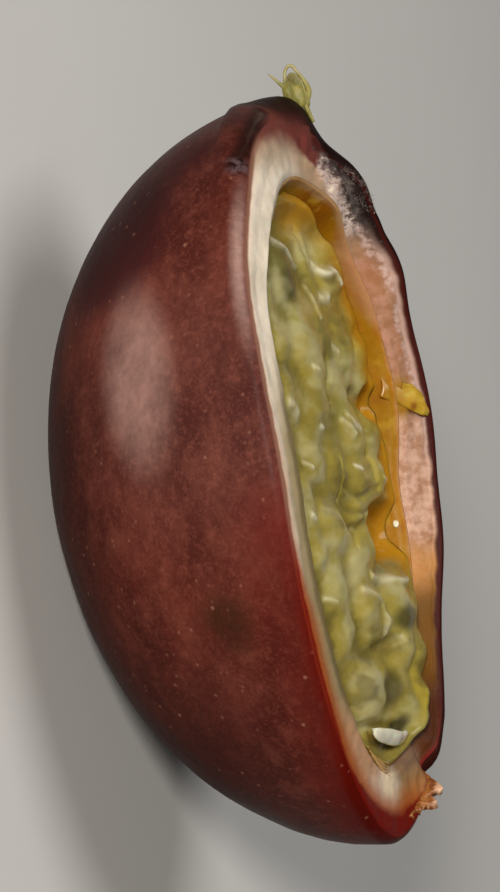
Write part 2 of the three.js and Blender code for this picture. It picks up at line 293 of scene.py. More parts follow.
# ---- rind: waxy skin outside, spongy pith where it is cut
skin = dict(
    base=tone(84, 35, 26), light=tone(112, 58, 45), dark=tone(58, 20, 14), plum=tone(50, 12, 15),
    red=tone(86, 19, 12), bloomAndSheen=tone(166, 132, 121), fleck=tone(150, 104, 84), olive=tone(42, 22, 8),
    nearBlack=tone(19, 10, 9), scar=tone(88, 76, 68), endShade=tone(34, 9, 8), underShade=tone(30, 10, 8),
    rimHighlight=tone(184, 156, 144), farRed=tone(34, 10, 6), purple=tone(92, 72, 72), deepRed=tone(78, 10, 4), dusty=tone(98, 46, 39),
    farDark=tone(18, 9, 7), shade=tone(26, 5, 4),
)
pith = dict(
    cream=tone(226, 210, 188), grey=tone(192, 178, 154), pink=tone(170, 124, 100), peach=tone(148, 102, 70),
    orange=tone(150, 72, 16), red=tone(100, 12, 3), line=tone(104, 32, 16), tan=tone(160, 102, 48),
    margin=tone(139, 123, 88), ridge=tone(190, 160, 148), white=tone(200, 162, 138), dimRed=tone(60, 20, 15),
    dustyRed=tone(98, 46, 39), softLine=tone(116, 78, 62), fuzz=tone(186, 164, 152), soot=tone(60, 46, 44),
    salmon=tone(156, 100, 66), rust=tone(94, 62, 14), rustEnd=tone(52, 16, 5), beige=tone(148, 116, 86), shadow=tone(26, 17, 15),
    inside=tone(96, 82, 48), stemTan=tone(132, 92, 32), stemBrown=tone(84, 47, 6), litPatch=tone(238, 212, 170),
    darkRed=tone(58, 16, 12), freshRed=tone(130, 50, 40), amber=tone(172, 116, 46),
)


def skinPaint():
    paint = Paint("waxySkin", Roughness=0.42, Specular_IOR_Level=0.05)
    x = paint.along("X")
    y = paint.along("Y")
    z = paint.along("Z")
    blotches = paint.cloud(9, 4, 0.6, stretch=(0.7, 1, 1))
    mottle = paint.cloud(2.6, 5, 0.65, stretch=(0.6, 1, 1))
    grain = paint.cloud(0.7, 3, 0.6)
    pores = paint.cloud(0.3, 2)
    colour = paint.mix(blotches.rise(0.3, 0.72), skin["dark"], skin["base"])
    colour = paint.mix(mottle.rise(0.42, 0.78) * 0.6, colour, skin["light"])
    colour = paint.mix(mottle.fall(0.24, 0.5) * 0.5, colour, skin["dark"])
    colour = paint.mix(grain.rise(0.5, 0.75) * 0.4, colour, skin["light"])
    colour = paint.mix(grain.fall(0.25, 0.45) * 0.45, colour, skin["dark"])
    colour = paint.mix(pores.rise(0.5, 0.75) * 0.35, colour, skin["light"])
    colour = paint.mix(pores.fall(0.25, 0.45) * 0.35, colour, skin["dark"])
    # plum blotches towards the flower end
    plum = paint.spot(-23.5, -13, 13.5, 4, 10) + paint.spot(-30, -10, 22, 1, 7) * blotches.rise(0.3, 0.6)
    colour = paint.mix(plum.rise(0, 1) * (0.7 + 0.3 * mottle), colour, skin["plum"])
    # olive bruise towards the stem end
    bruise = paint.spot(12.5, -22.6, 21.3, 1, 4.5) * mottle.rise(0.3, 0.6)
    colour = paint.mix(bruise * 0.8, colour, skin["olive"])
    # clear red under the near rim and round the stem end
    cut = paint.attribute("cut")
    nearRim = cut.rise(-7, -0.6) * y.fall(-6, 4)
    redStretch = nearRim * x.rise(-3, 5) * (0.3 + 0.5 * blotches.rise(0.35, 0.6) + 0.5 * (mottle - 0.3))
    colour = paint.mix(redStretch * 0.8, colour, skin["red"])
    redEdge = (cut + mottle * 1.6).rise(-0.9, 0.9) * x.rise(6, 14) + (cut + mottle * 2).rise(-4.5, 0.0) * x.rise(24, 34)
    colour = paint.mix(redEdge * y.fall(2, 9) * 0.9, colour, skin["deepRed"])
    # painted shade: darker to the two ends and underneath, where the light falls off
    colour = paint.mix(x.fall(-34, -24) * 0.45, colour, skin["endShade"])
    colour = paint.mix(x.rise(10, 27) * z.fall(14, 27) * 0.75, colour, skin["endShade"])
    colour = paint.mix(z.fall(3, 15) * 0.7, colour, skin["underShade"])
    colour = paint.mix(paint.spot(-27, -11, 12, 4, 12) * 0.6, colour, skin["shade"])
    # painted sheen on the belly, partly the skin's waxy bloom, and a pale stripe of painted highlight under the near
    # rim
    alongBelly = (x + 10.5) * 0.085
    upBelly = (z - 16.1) * 0.175
    bloomAndSheen = (alongBelly * alongBelly + upBelly * upBelly).fall(0, 1) * y.fall(-15, -8)
    wideBloomAndSheen = paint.spot(-8, -24, 22, 4, 20) * 0.05
    colour = paint.mix((bloomAndSheen * bloomAndSheen * 0.53 + wideBloomAndSheen) * (0.7 * mottle + 0.4 * grain + 0.5 * blotches.rise(0.3, 0.7)), colour, skin["bloomAndSheen"])
    # painted highlight along the near rim's rounded edge
    rimHighlight = cut.rise(-2.2, -0.9) * cut.fall(-0.8, 0.0) * y.fall(-11, -6) * x.fall(-19, -9) * x.rise(-29, -22)
    colour = paint.mix(rimHighlight * (0.4 * mottle + 0.3 * grain), colour, skin["rimHighlight"])
    # fine pale flecks
    flecks = paint.cells(1.3).fall(0.05, 0.2) * paint.cloud(3, 2).rise(0.45, 0.62)
    colour = paint.mix(flecks * 0.3, colour, skin["fleck"])
    specks = [(-22.3, -18.4, 21.9), (20.6, -15, 12.6), (18.5, -21.4, 27.4), (22.9, -19, 25.7),
              (10.9, -22.7, 20.2), (32.9, -10, 27.4)]
    for place in specks:
        colour = paint.mix(paint.spot(*place, 0.05, 0.3) * 0.45, colour, skin["fleck"])
    # nearly black round the dried flower and along the curled rim
    dusty = (cut + mottle * 1.2).rise(-3.0, 0.4) * x.fall(-32, -27) * y.rise(-7, -1) * y.fall(5, 9)
    colour = paint.mix(dusty, colour, skin["dusty"])
    apex = paint.spot(-37, 3.5, 26.3, 2.6, 6.2)
    colour = paint.mix((apex + (mottle - 0.5) * 0.3 * apex) * 0.9, colour, skin["nearBlack"])
    farRim = cut.rise(-5, -1.5) * y.rise(3, 7)
    colour = paint.mix(farRim * x.fall(-16, -6) * 0.95, colour, skin["farDark"])
    colour = paint.mix(farRim * x.rise(-10, 2) * 0.9, colour, skin["farRed"])
    scar = paint.attribute("scar")
    colour = paint.mix(scar.rise(-0.3, 0.6) * 0.7, colour, skin["nearBlack"])
    colour = paint.mix(scar.rise(0.55, 1.0) * (0.2 + 0.8 * grain), colour, skin["scar"])
    blob = paint.spot(-28.7, -13.8, 26.6, 0.4, 1.7)
    colour = paint.mix(blob * 0.8, colour, skin["nearBlack"])
    colour = paint.mix(blob * grain.rise(0.35, 0.65) * 0.7, colour, skin["purple"])
    # the reddish line where skin turns into pith
    line = paint.mix(y.rise(2, 8), paint.mix(x.rise(2, 10), pith["softLine"], pith["line"]), pith["dimRed"])
    colour = paint.mix(cut.rise(-0.4, -0.02) * x.rise(-33, -29) * x.fall(20, 27), colour, line)
    relief = blotches * 0.4 + mottle * 0.3 + grain * 0.2 + pores * 0.1
    paint.give(Base_Color=colour, Roughness=0.36 + 0.2 * mottle, Normal=paint.bump(relief, 0.12))
    return paint


def pithPaint():
    paint = Paint("cutPith", Roughness=0.5, Subsurface_Weight=0.35, Subsurface_Scale=0.0012, Specular_IOR_Level=0.12)
    paint.surface.inputs["Subsurface Radius"].default_value = (1.0, 0.5, 0.3)
    x = paint.along("X")
    y = paint.along("Y")
    z = paint.along("Z")
    cut = paint.attribute("cut")
    inner = paint.attribute("inner")
    sponge = paint.cloud(1.0, 4, 0.6, stretch=(1, 0.4, 1))
    patches = paint.cloud(3.6, 3, stretch=(1, 0.45, 1))
    wobble = (sponge - 0.5) * 0.8 + (patches - 0.5) * 1.2
    near = y.fall(-8, 2)
    colour = paint.mix(patches.rise(0.4, 0.65) * 0.5, pith["cream"], pith["grey"])
    colour = paint.mix(near * (0.3 * x.rise(-10, 0) + 0.5 * x.rise(6, 16)) * x.fall(28, 33), colour, pith["tan"])
    # the far side is pinkish, whiter in the middle and brown towards the stem
    farColour = paint.mix(sponge.rise(0.35, 0.65), pith["peach"], pith["pink"])
    farColour = paint.mix(paint.spot(-17.6, 15.5, 28, 0.5, 2.6) * 0.5, farColour, pith["salmon"])
    whiteBand = x.rise(-9, -3) * x.fall(11, 15)
    farColour = paint.mix(whiteBand * (0.2 + 0.6 * sponge.rise(0.35, 0.65)), farColour, pith["white"])
    farColour = paint.mix(x.rise(8, 11) * 0.75, farColour, pith["amber"])
    farColour = paint.mix(x.rise(11.5, 15.5) * 0.95, farColour, pith["rust"])
    farColour = paint.mix(x.rise(20, 25) * 0.9, farColour, pith["rustEnd"])
    farColour = paint.mix(cut.rise(0.1, 0.3) * cut.fall(0.5, 1.0) * x.fall(-2, 4) * 0.6, farColour, pith["ridge"])
    farWay = y.rise(2, 9) * x.rise(-31, -24) * (1 - x.rise(26, 29) * y.fall(7, 10))
    colour = paint.mix(farWay, colour, farColour)
    # a greyish margin round the hollow, painted shade where the pith's inner edge slopes down to the pulp, and a beige
    # one at the flower end
    marginShade = (cut + wobble * 0.5).rise(0.7, 2.2) * near * x.fall(20, 25)
    colour = paint.mix(marginShade * (0.1 + 0.8 * x.rise(-11, -2)), colour, pith["margin"])
    innerMarginShade = (inner + wobble * 0.3).fall(0.4, 1.3) * near * x.fall(20, 25) * x.rise(-14, -5)
    colour = paint.mix(innerMarginShade * 0.8, colour, pith["inside"])
    beige = (inner + wobble).fall(0.4, 2.4) * x.fall(-22, -18) * y.rise(-2, 4)
    colour = paint.mix(beige * 0.85, colour, pith["beige"])
    colour = paint.mix(x.fall(-30.5, -27) * 0.7, colour, pith["beige"])
    colour = paint.mix(paint.spot(-5.3, 19.4, 29.1, 1.2, 3.0) * 0.95, colour, lining["golden"])
    # at the stem end a painted patch of light brightens the near side, and the pith is tan and brown beyond
    colour = paint.mix(paint.spot(30.2, -2.5, 27.5, 0.8, 3.6) * 0.6, colour, pith["litPatch"])
    stemTone = paint.mix((x + wobble * 3).rise(28.5, 32), pith["stemBrown"], pith["stemTan"])
    colour = paint.mix((y + wobble * 3).rise(-2.5, 2.5) * y.fall(8, 11) * x.rise(25, 28) * 0.9, colour, stemTone)
    # red and orange creep in from the skin, widest at the stem end
    stemWay = x.rise(27, 35)
    flowerWay = x.fall(-31, -26) * y.rise(-12, 1) * y.fall(9, 12)
    redWidth = 0.1 + 0.35 * x.rise(4, 14) * near + 2.0 * stemWay * y.fall(1, 7) + (1.5 + 1.5 * y.rise(3, 6)) * flowerWay
    margin = cut - redWidth + wobble * (0.25 + stemWay + flowerWay)
    orange = margin.fall(0.2, 1.1 + 1.8 * x.rise(7, 14) + 1.6 * stemWay) * (0.2 + 0.8 * x.rise(2, 12))
    colour = paint.mix(orange * (0.9 - 0.85 * y.rise(4, 9)), colour, pith["orange"])
    redTone = paint.mix(y.rise(2, 8) * x.fall(24, 30), pith["red"], pith["dimRed"])
    redTone = paint.mix(x.fall(-28, -24), redTone, pith["dustyRed"])
    redShare = margin.fall(-0.5, 0.3 + 2.4 * flowerWay + 0.9 * stemWay) * (x.rise(0, 10) + x.fall(-26, -20) + y.rise(0, 6))
    colour = paint.mix(redShare, colour, redTone)
    line = paint.mix(y.rise(2, 8), paint.mix(x.rise(2, 10), pith["softLine"], pith["red"]), pith["dimRed"])
    colour = paint.mix(cut.fall(0.05, 0.5) * x.rise(-33, -29) * x.fall(20, 27), colour, line)
    # grey and sooty mould along the far pith towards the flower end, and painted shadow on the pith next to the curl
    # beyond it; where the mould meets the skin it is mixed from the same painted shadow tone
    curlShadow = (cut + patches).fall(1.3, 2.6) * y.rise(6.5, 9) * x.fall(-23, -17)
    colour = paint.mix(curlShadow * 0.9, colour, pith["shadow"])
    mouldZone = (paint.attribute("mould") + (patches - 0.5)).rise(-0.3, 0.5)
    speckle = paint.cloud(0.9, 5, 0.7, stretch=(1, 0.45, 1))
    crumbs = paint.cloud(0.5, 3, 0.7, stretch=(1, 0.45, 1))
    sooty = paint.mix(cut.rise(0.1, 0.9), pith["shadow"], pith["soot"])
    mouldTone = paint.mix((cut + (speckle - 0.5) * 7).rise(0.6, 2.6), sooty, pith["fuzz"])
    mouldTone = paint.mix(crumbs.fall(0.36, 0.46) * 0.7, mouldTone, pith["soot"])
    mouldTone = paint.mix(crumbs.rise(0.56, 0.64) * cut.rise(0.4, 1.4) * 0.7, mouldTone, pith["cream"])
    colour = paint.mix(mouldZone * 0.9, colour, mouldTone)
    colour = paint.mix(paint.spot(-30.6, 6.5, 28.6, 0.5, 1.5) * 0.85, colour, pith["darkRed"])
    # a pale ridge runs along the curl beyond it
    ridge = cut.rise(0.4, 0.9) * cut.fall(1.1, 1.8) * y.rise(9, 13) * x.rise(-24, -21) * x.fall(-8, 0)
    colour = paint.mix(ridge * (0.1 + 0.8 * sponge.rise(0.38, 0.62)), colour, pith["ridge"])
    # the tip is as dark as the skin round it
    tip = paint.spot(-37, 3.5, 26.3, 2.6, 6.2)
    colour = paint.mix((tip + (patches - 0.5) * 0.3 * tip) * 0.9, colour, skin["nearBlack"])
    colour = paint.mix(paint.spot(-31.2, 4.6, 28.3, 0.3, 1.8) * patches.rise(0.35, 0.6) * 0.6, colour, pith["freshRed"])
    relief = sponge * 0.6 + patches * 0.4 + mouldZone * crumbs * 1.1
    paint.give(Base_Color=colour, Roughness=0.42 + 0.2 * sponge, Normal=paint.bump(relief, 0.2))
    return paint


def rindRows():
    spotClimb = 1 - (2 / np.pi) * np.arcsin((1 - fruit["restSink"] / fruit["depth"]) ** (fruit["belly"] / 2))

    def skinEnd(turn):  # length of the arc from the lip's start to where the pith begins
        nearEnd = edgeRadius(turn) * 1.05
        farEnd = edgeRadius(turn) * np.pi / 2 + 0.35
        return nearEnd + (farEnd - nearEnd) * farShare(turn)

    def wallRow(climb):
        def row(turn):
            reach, height = wallPoint(turn, climb)
            drop = rimHeight(turn) - edgeRadius(turn) - height
            return reach, height, -skinEnd(turn) - np.maximum(0, drop)
        return row

    def lipRow(share):
        def row(turn):
            edge = edgeRadius(turn)
            swing = share * np.pi / 2
            reach = fruitRadius(turn) - edge * (1 - np.cos(swing))
            height = rimHeight(turn) + curlHeight(turn) - edge * (1 - np.sin(swing))
            return reach, height, edge * swing - skinEnd(turn)
        return row

    def cutRow(share):
        def row(turn):
            foot = fruitRadius(turn) - edgeRadius(turn) - rim["curlWidth"]
            width = foot - hollowRadius(turn) - rim["innerEdge"]
            height = rimHeight(turn) + pithSlope(turn) * share
            along = edgeRadius(turn) * np.pi / 2 + rim["curlWidth"] + width * share - skinEnd(turn)
            return foot - width * share, height, along, width * (1 - share)
        return row

    def curlRow(share):  # down from the lip to the foot of the curl
        def row(turn):
            reach = fruitRadius(turn) - edgeRadius(turn) - rim["curlWidth"] * share
            height = rimHeight(turn) + curlHeight(turn) * (0.5 + 0.5 * np.cos(np.pi * share))
            return reach, height, edgeRadius(turn) * np.pi / 2 + rim["curlWidth"] * share - skinEnd(turn)
        return row

    def hollowRow(climb):
        def row(turn):
            reach, height = hollowPoint(turn, climb)
            return reach, height, 9.0, 0.0
        return row

    wall = [wallRow(climb) for climb in np.linspace(spotClimb, 0.9, 62)]
    lip = [lipRow(share) for share in np.linspace(0, 1, 13)]
    cut = [cutRow(share) for share in np.linspace(0, 1, 13)]
    inner = [hollowRow(climb) for climb in np.linspace(0.98, 0, 26)]
    curl = [curlRow(share) for share in (0.15, 0.3, 0.45, 0.6, 0.75, 0.9)]
    return [lambda turn: (0.0, 0.0, -30.0)] + wall + lip + curl + cut + inner


scarPath = [Vector((-34.6, -1.6, 26.2)), Vector((-33.6, -4.4, 26.3)), Vector((-32.4, -7.2, 26.6)),
            Vector((-31.5, -9.1, 26.7)), Vector((-30.3, -11.2, 26.7)), Vector((-29.2, -13.0, 26.5))]
mouldPath = [Vector((-28.4, 7.1, 28.8)), Vector((-27.6, 7.6, 28.9)), Vector((-26.3, 8.7, 29.0)),
             Vector((-25.1, 10.9, 29.1)), Vector((-23.0, 12.8, 29.1))]


def awayFromPath(point, path):
    best = 99.0
    for a, b in zip(path, path[1:]):
        along = max(0.0, min(1.0, (point - a).dot(b - a) / (b - a).length_squared))
        best = min(best, (point - a - (b - a) * along).length)
    return best


def makeRind():
    bm = spunForm(rindRows(), 360)
    cut = bm.verts.layers.float["cut"]
    scar = bm.verts.layers.float.new("scar")
    mouldy = bm.verts.layers.float.new("mould")
    for v in bm.verts:
        point = v.co.copy()
        outward = Vector((point.x, point.y, 0))
        reach = outward.length
        if reach > 20:
            push = sum(r * np.exp(-((point - Vector((x, y, z))).length / s) ** 2) for x, y, z, s, r in fruit["noses"])
            v.co += outward / reach * push
        if reach > 6 and point.z > 1 and v[cut] < 0:
            outward.normalize()
            press = sum(d * np.exp(-((point - Vector((x, y, z))).length / s) ** 2) for x, y, z, s, d in fruit["dents"])
            away = awayFromPath(point, scarPath)
            groove = np.exp(-(away / 0.4) ** 2)
            ridge = np.exp(-((away - 0.9) / 0.4) ** 2)
            press += 0.3 * groove - 0.08 * ridge
            press += 0.14 * noise.noise(point * 0.16) + 0.05 * noise.noise(point * 0.55)
            v.co -= outward * press
            v[scar] = max(-1.0, 1.0 - away)
        else:
            v[scar] = -1.0
        v[mouldy] = 1 - awayFromPath(point, mouldPath) / 1.6 if v[cut] > 0 and point.x < -18 else -1.0
        if v[cut] > 0 and reach > 15:
            rough = 0.10 if point.y < 3 else 0.25
            v.co.z += rough * noise.noise(point * 0.7)
    paints = [skinPaint(), pithPaint()]
    for face in bm.faces:
        face.material_index = 1 if sum(v[cut] for v in face.verts) > 0 else 0
    return finishPiece(bm, "rindHalf", paints, "rind", "rind")


# ---- lining: the thin wet skin between pith and pulp
lining = dict(
    gap=0.03, thickness=0.3, nearDrop=0.08,  # it ends lower along the near side
    golden=tone(142, 98, 8), orange=tone(152, 102, 10), shadeBrown=tone(116, 62, 1), olive=tone(118, 90, 18),
    peach=tone(158, 112, 78), cream=tone(150, 134, 96), beige=tone(150, 116, 82), freckle=tone(140, 76, 14), yellow=tone(170, 132, 34),
)


def liningPaint():
    paint = Paint("wetLining", Roughness=0.45, Subsurface_Weight=0.4, Subsurface_Scale=0.0016, Specular_IOR_Level=0.12)
    paint.surface.inputs["Subsurface Radius"].default_value = (1.0, 0.6, 0.2)
    x = paint.along("X")
    y = paint.along("Y")
    streaks = paint.cloud(2.2, 3)
    wide = paint.cloud(6, 2)
    below = paint.attribute("cut")  # millimetres under the top edge
    colour = paint.mix(wide.rise(0.35, 0.65), lining["golden"], lining["orange"])
    # painted shade: darker brown in the deepest end of the hollow at the flower end
    hollowShade = paint.spot(-24.3, 6.5, 25.5, 1.5, 6)
    colour = paint.mix(hollowShade * 0.9, colour, lining["shadeBrown"])
    colour = paint.mix(x.fall(-20, -14) * y.fall(-1, 5) * 0.6, colour, lining["olive"])
    colour = paint.mix(streaks.rise(0.5, 0.7) * 0.45, colour, lining["freckle"])
    colour = paint.mix(streaks.fall(0.3, 0.46) * 0.6, colour, lining["yellow"])
    top = (below + (streaks - 0.5) * 1.4).fall(0.0, 0.9 + 2.2 * x.fall(-16, -11) * x.rise(-24, -19))
    farTop = paint.mix(x.fall(-24, -19), lining["peach"], lining["beige"])
    colour = paint.mix(top * y.rise(-1, 4) * 0.95, colour, farTop)
    colour = paint.mix(top * y.fall(-2, 3), colour, paint.mix(x.fall(-25, -21), lining["cream"], lining["beige"]))
    relief = streaks * 0.5 + wide * 0.5
    paint.give(Base_Color=colour, Roughness=0.35 + 0.25 * streaks, Normal=paint.bump(relief, 0.4))
    return paint


def makeLining(paint):
    def row(climb, inset):
        def point(turn):
            reach, height = hollowPoint(turn, climb * (1 - lining["nearDrop"] * nearShare(turn)), inset)
            return reach, height, rimHeight(turn) + pithSlope(turn) - height
        return point

    climbs = np.linspace(0, 0.99, 34)
    outer = [row(climb, lining["gap"]) for climb in climbs]
    inner = [row(climb, lining["gap"] + lining["thickness"]) for climb in climbs[::-1]]
    bm = spunForm(outer + inner, 240)
    return finishPiece(bm, "hollowLining", [paint], "lining", "lining")


flap = dict(
    line=[(-7.2, 17.9, 27.8), (-6.4, 19.3, 29.1), (-5.4, 20.9, 30.0), (-4.4, 22.3, 30.5), (-3.4, 23.5, 30.4)],
    halfWidth=[1.5, 1.6, 1.6, 1.2, 0.3], thickness=0.3,
    yellow=tone(174, 134, 26), tip=tone(186, 152, 50), stain=tone(120, 62, 10), golden=tone(146, 100, 10),
)


def makeFlap():  # a torn tongue of lining that lies over the far cut
    bm = bmesh.new()
    bmesh.ops.create_grid(bm, x_segments=14, y_segments=30, size=0.5)
    marks = np.linspace(0, 1, len(flap["line"]))
    line = np.array(flap["line"])
    aside = Vector((0.97, -0.22, 0))
    for v in bm.verts:
        along = v.co.y + 0.5
        across = 2 * v.co.x
        spine = Vector([float(np.interp(along, marks, line[:, k])) for k in range(3)])
        half = float(np.interp(along, marks, flap["halfWidth"]))
        ruffle = 0.12 * noise.noise(spine * 0.9 + Vector((across, 0, 0)))
        v.co = spine + aside * across * half + Vector((0, 0, ruffle - 0.3 * across * across * half))
    bmesh.ops.recalc_face_normals(bm, faces=bm.faces)
    bmesh.ops.solidify(bm, geom=bm.faces[:], thickness=flap["thickness"])
    bmesh.ops.recalc_face_normals(bm, faces=bm.faces)
    paint = Paint("tornFlap", Roughness=0.42, Subsurface_Weight=0.4, Subsurface_Scale=0.001, Coat_Weight=0.15,
                  Coat_Roughness=0.2)
    y = paint.along("Y")
    veins = paint.cloud(1.2, 3, 0.6, stretch=(1.5, 0.5, 1))
    colour = paint.mix(veins.rise(0.35, 0.7), flap["yellow"], flap["tip"])
    colour = paint.mix(y.fall(18.5, 20.5) * 0.9, colour, flap["golden"])
    colour = paint.mix(paint.spot(-4.3, 20.6, 29.7, 0.1, 0.8) * 0.8, colour, flap["stain"])
    paint.give(Base_Color=colour, Normal=paint.bump(veins, 0.1))
    return finishPiece(bm, "tornFlap", [paint], "lining", "lining")


# ---- pulp: seed sacs run together in their juice. Its top is one surface over X and Y.
pulp = dict(
    inset=0.36,        # the pulp wets the lining's inner face
    sinkMiddle=1.8, sinkFar=0.6, sinkStem=-0.8, sinkFlower=1.4,
    bulgeX=19, bulgeY=11, bulgeSpread=9, bulgeRise=0.8,
    juice=0.62,        # the juice between the sacs stands this far under their tops
    melt=0.42,         # how softly sacs and juice run together
    wander=0.9,        # how far the sacs' outlines stray
    spacing=6.0,
    olive=tone(147, 130, 57), pale=tone(170, 158, 108), dark=tone(94, 82, 38), yellow=tone(160, 138, 46),
    golden=tone(158, 110, 20), shadeBrown=tone(88, 74, 26), glint=tone(212, 204, 176), green=tone(134, 128, 66),
    seed=tone(50, 44, 24), whitish=tone(182, 172, 124),
)
# sacs: centre, half lengths along X and Y, turn, lift over the level, tint from -1 dark to 1 pale, yellow
largeSacs = [
    (-18.6, -4.8, 3.2, 4.9, 0, 0.35, -0.75, 0.0), (-19.8, 4.4, 4.6, 2.7, 0, -0.1, -0.1, 0.35),
    (-18.3, 11.6, 2.9, 3.9, 0, 0.75, 0.25, 0.0), (-11.5, -3.2, 4.6, 5.2, 0, 0.4, 0.5, 0.0),
    (-11.2, 9.4, 4.2, 4.8, 0, 0.15, 0.0, 0.35), (-14.6, 14.6, 2.8, 2.6, 0, -0.2, 0.0, 0.6),
    (-10.4, 15.8, 2.6, 2.4, 0, 0.1, 0.0, 0.4),
    (-7.8, -12.6, 2.7, 3.4, 0, 0.35, 0.45, 0.0), (-12.6, -12.0, 3.0, 3.2, 0, -0.1, 0.1, 0.0),
    (-6.1, -3.9, 3.0, 4.2, 0, 0.05, -0.4, 0.15), (-6.6, 4.6, 2.7, 3.4, 0, -0.15, -0.15, 0.2),
    (-1.9, 13.2, 2.3, 3.3, 0, 0.8, -0.35, 0.1), (1.7, 12.0, 2.2, 3.4, 0, 0.6, 0.1, 0.1),
    (-2.6, 6.2, 2.9, 4.5, 0, 0.4, 0.15, 0.0), (-0.9, -8.0, 3.2, 4.2, 0, 0.0, -0.2, 0.1),
    (0.2, -1.8, 2.4, 3.2, 0, -0.1, -0.1, 0.2), (1.6, 5.6, 2.6, 4.8, 0, 0.2, 0.0, 0.15),
    (3.9, 6.0, 1.5, 5.6, 10, -0.1, -0.1, 0.1), (3.2, -13.1, 3.2, 3.5, 0, 0.1, 0.15, 0.0),
    (5.9, -6.0, 2.7, 4.6, -12, 0.4, 0.55, 0.0), (9.2, 0.2, 2.5, 3.8, 0, 0.0, 0.25, 0.0),
    (7.7, -12.1, 3.0, 3.5, 0, 0.0, 0.05, 0.1), (11.4, -8.2, 3.5, 4.0, 0, 0.35, 0.6, 0.0),
    (15.0, 10.2, 3.9, 6.4, 0, 1.1, -0.05, 0.0), (14.2, 0.9, 3.3, 4.3, -15, 0.35, 0.4, 0.1),
    (18.8, 7.8, 2.0, 3.2, 0, 0.7, 0.4, 0.0), (19.4, 13.4, 1.9, 2.8, 0, 0.8, 0.1, 0.1),
    (15.7, -7.4, 3.7, 4.8, 0, -0.05, -0.25, 0.1), (21.8, -2.6, 4.0, 6.6, 0, 0.6, 0.7, 0.0),
    (22.6, 7.0, 2.7, 3.2, 0, 0.3, -0.2, 0.1), (23.3, 11.5, 1.7, 2.4, 0, 0.7, 0.0, 1.0),
    (25.2, 8.4, 1.5, 2.2, 0, 0.7, 0.0, 0.5),
]
# lines drawn into the top: points, rise, width, how strong a painted highlight the line carries
creases = [
    ([(-22.0, -6.3), (-20.7, -1.6), (-19.5, 1.5)], 0.5, 0.4, 0.6),
    ([(-19.6, 7.0), (-18.9, 8.6), (-18.6, 11.0), (-17.6, 12.2), (-17.1, 12.4)], 0.4, 0.35, 0.8),
    ([(-16.3, 6.2), (-15.9, 8.6)], 0.5, 0.7, 0.65),
    ([(-6.4, -13.0), (-5.2, -10.6)], 0.35, 0.6, 0.5),
    ([(-4.3, 2.4), (-2.9, 4.6)], 0.4, 0.4, 0.55),
    ([(-17.3, 2.3), (-16.0, 3.1), (-14.3, 3.1)], 0.35, 0.4, 0.35),
    ([(-14.0, 4.2), (-11.0, 3.2), (-7.8, 0.1)], -0.3, 0.5, 0.0),
    ([(-7.8, 0.1), (-6.3, 0.9), (-5.4, -0.5)], -0.5, 0.4, 0.0),
    ([(-0.8, -0.5), (1.6, -1.4), (3.5, -2.0)], -0.45, 0.4, 0.0),
    ([(2.3, -0.5), (3.3, 4.1), (2.9, 10.5)], -0.5, 0.35, 0.0),
    ([(4.0, -0.7), (5.1, 5.0), (4.5, 11.0)], -0.45, 0.35, 0.0),
    ([(5.2, -1.4), (6.1, 1.4), (5.9, 5.8)], -0.7, 0.5, 0.0),
    ([(6.1, 1.4), (7.6, -0.3)], -0.5, 0.45, 0.0),
    ([(10.9, 3.1), (11.8, 8.8), (12.3, 15.5)], 0.6, 0.4, 0.55),
    ([(12.0, -0.8), (13.6, 4.2), (15.7, 5.2), (16.9, 3.7)], 0.35, 0.45, 0.35),
    ([(17.5, 0.7), (17.7, 6.1)], -0.5, 0.4, 0.0),
    ([(24.8, -7.1), (25.3, -0.9), (25.5, 4.1)], -0.6, 0.4, 0.0),
    ([(-22.5, 3.0), (-18.5, 5.6), (-14.5, 6.2)], -0.3, 0.4, 0.0),
    ([(-4.6, 3.6), (-3.6, 5.2), (-3.4, 6.6)], 0.3, 0.4, 0.4),
    ([(-2.2, 9.4), (0.2, 10.4), (2.0, 9.8)], -0.35, 0.4, 0.0),
    ([(-11.3, 5.4), (-11.0, 6.5)], 0.25, 0.28, 0.8),
    ([(-9.6, -4.6), (-9.3, -3.4)], 0.25, 0.28, 0.7),
    ([(-3.9, -4.6), (-3.6, -3.5)], 0.25, 0.3, 0.7),
    ([(-0.6, -11.2), (-0.1, -9.8)], 0.25, 0.3, 0.8),
    ([(0.9, 3.8), (1.2, 5.2)], 0.25, 0.28, 0.7),
    ([(2.2, 11.8), (2.5, 13.0)], 0.2, 0.25, 0.6),
    ([(12.3, -11.8), (12.7, -10.2)], 0.25, 0.3, 0.6),
    ([(4.6, -13.4), (5.0, -11.8)], 0.25, 0.3, 0.7),
]
# low places where the golden wall comes through: centre, half lengths, depth
hollows = [(7.4, 13.0, 3.3, 7.5, 2.6), (-5.4, 15.4, 1.9, 3.8, 1.6), (-5.8, 10.2, 1.5, 2.6, 0.8)]
# seeds that show through the juice: centre, half lengths, turn, how dark
shownSeeds = [
    (-17.6, -4.4, 1.5, 2.6, 10, 0.55), (-18.1, 9.2, 0.9, 1.5, 0, 0.5), (15.8, 9.2, 1.3, 3.4, 0, 0.75),
    (22.0, 3.6, 1.9, 2.6, 0, 0.75), (26.0, 4.9, 0.9, 2.0, 20, 0.9), (15.4, -5.6, 1.6, 2.0, 0, 0.25),
    (-3.2, 5.2, 0.8, 1.6, 0, 0.25), (-0.9, -5.6, 1.2, 1.8, 0, 0.2), (11.0, -14.0, 1.2, 2.0, 0, 0.3),
]


